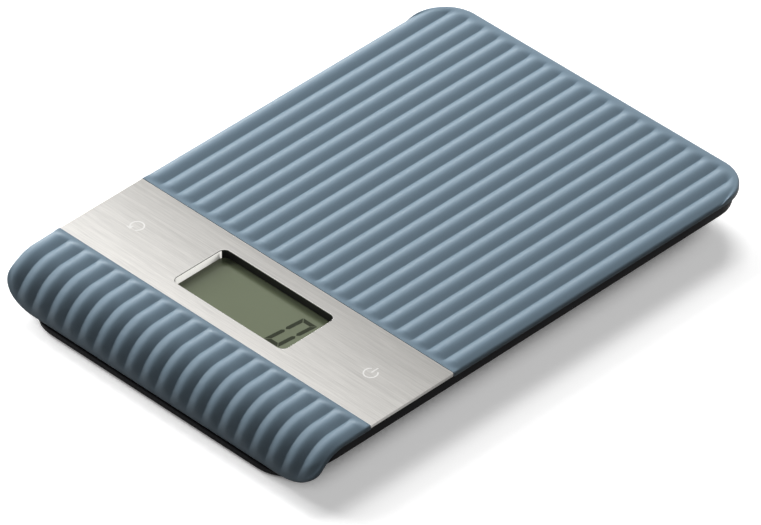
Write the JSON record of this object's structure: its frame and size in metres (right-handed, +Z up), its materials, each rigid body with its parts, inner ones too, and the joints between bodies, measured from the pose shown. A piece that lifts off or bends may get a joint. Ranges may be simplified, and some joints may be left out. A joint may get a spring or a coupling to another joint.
{
  "type": "kitchen scale",
  "caption": "Flat digital kitchen scale with a ribbed blue top that bends over the front, a brushed steel band with a display window, and a black base on feet.",
  "frame": {"origin": "middle of the scale's outline, on the table under its feet", "axes": "+X to the user's right, +Y away from the user to the platform's far edge, +Z up"},
  "size_m": [0.1706, 0.2435, 0.0213],
  "materials": {
    "cover": "satin moulded plastic, grey-blue",
    "steel_band": "brushed across its width",
    "adhesive": "thin glue sheet",
    "window_frame": "black with silver end walls",
    "display_glass": "olive liquid crystal display",
    "contact_rubber": "striped contact rubber",
    "board": "green circuit board",
    "screw_steel": "zinc-plated",
    "black_resin": "moulded resin",
    "capacitor_can": "sleeved can",
    "switch_black": "moulded",
    "switch_stem": "moulded",
    "key_plastic": "moulded",
    "base": "fine grain, black",
    "cell_steel": "stamped spring steel",
    "gauge_foil": "foil on film",
    "white_lead": "insulated wire",
    "foot_cup": "moulded",
    "foot_pad": "soft grey pad",
    "battery_jacket": "printed jacket, unmarked",
    "contact_metal": "nickel-plated",
    "red_lead": "insulated wire"
  },
  "bodies": {
    "scale": {"top_cover": "cover", "steel_fascia": "steel_band", "fascia_adhesive": "adhesive", "lcd_window_frame": "window_frame", "lcd_panel": "display_glass", "lcd_contact_strips": "contact_rubber", "main_board": "board", "board_screws": "screw_steel", "controller_blob": "black_resin", "memory_chip": "black_resin", "board_capacitors": "capacitor_can", "unit_switch_housing": "switch_black", "tare_switch_housing": "switch_black", "base_tub": "base", "case_screws": "screw_steel", "load_cell_front_left": "cell_steel", "load_cell_front_right": "cell_steel", "load_cell_rear_left": "cell_steel", "load_cell_rear_right": "cell_steel", "strain_gauges": "gauge_foil", "load_cell_screws": "screw_steel", "load_cell_leads": "white_lead", "battery_cell_left": "battery_jacket", "battery_cell_right": "battery_jacket", "battery_bridge_plate": "contact_metal", "battery_end_plates": "contact_metal", "battery_springs": "contact_metal", "battery_leads": "red_lead"},
    "unit_key": {"unit_switch_stem": "switch_stem", "unit_key_pin": "key_plastic"},
    "tare_key": {"tare_switch_stem": "switch_stem", "tare_key_pin": "key_plastic"},
    "foot_front_left": {"foot_cup_front_left": "foot_cup", "foot_pad_front_left": "foot_pad"},
    "foot_front_right": {"foot_cup_front_right": "foot_cup", "foot_pad_front_right": "foot_pad"},
    "foot_rear_left": {"foot_cup_rear_left": "foot_cup", "foot_pad_rear_left": "foot_pad"},
    "foot_rear_right": {"foot_cup_rear_right": "foot_cup", "foot_pad_rear_right": "foot_pad"},
    "door": {"battery_door": "base"}
  },
  "joints": [
    {"name": "unit_key_press", "type": "slide", "parent": "scale", "child": "unit_key", "axis": [0, 0, -1], "range_m": [0, 0.00025], "stiffness_N_per_m": 40, "springref_m": -0.0005},
    {"name": "tare_key_press", "type": "slide", "parent": "scale", "child": "tare_key", "axis": [0, 0, -1], "range_m": [0, 0.00025], "stiffness_N_per_m": 40, "springref_m": -0.0005},
    {"name": "foot_front_left_load", "type": "slide", "parent": "scale", "child": "foot_front_left", "axis": [0, 0, 1], "range_m": [0, 0.0004], "stiffness_N_per_m": 300, "springref_m": -0.0035},
    {"name": "foot_front_right_load", "type": "slide", "parent": "scale", "child": "foot_front_right", "axis": [0, 0, 1], "range_m": [0, 0.0004], "stiffness_N_per_m": 300, "springref_m": -0.0035},
    {"name": "foot_rear_left_load", "type": "slide", "parent": "scale", "child": "foot_rear_left", "axis": [0, 0, 1], "range_m": [0, 0.0004], "stiffness_N_per_m": 300, "springref_m": -0.0035},
    {"name": "foot_rear_right_load", "type": "slide", "parent": "scale", "child": "foot_rear_right", "axis": [0, 0, 1], "range_m": [0, 0.0004], "stiffness_N_per_m": 300, "springref_m": -0.0035},
    {"name": "door_slide", "type": "slide", "parent": "scale", "child": "door", "axis": [0, 1, 0], "range_m": [0, 0.007]}
  ]
}
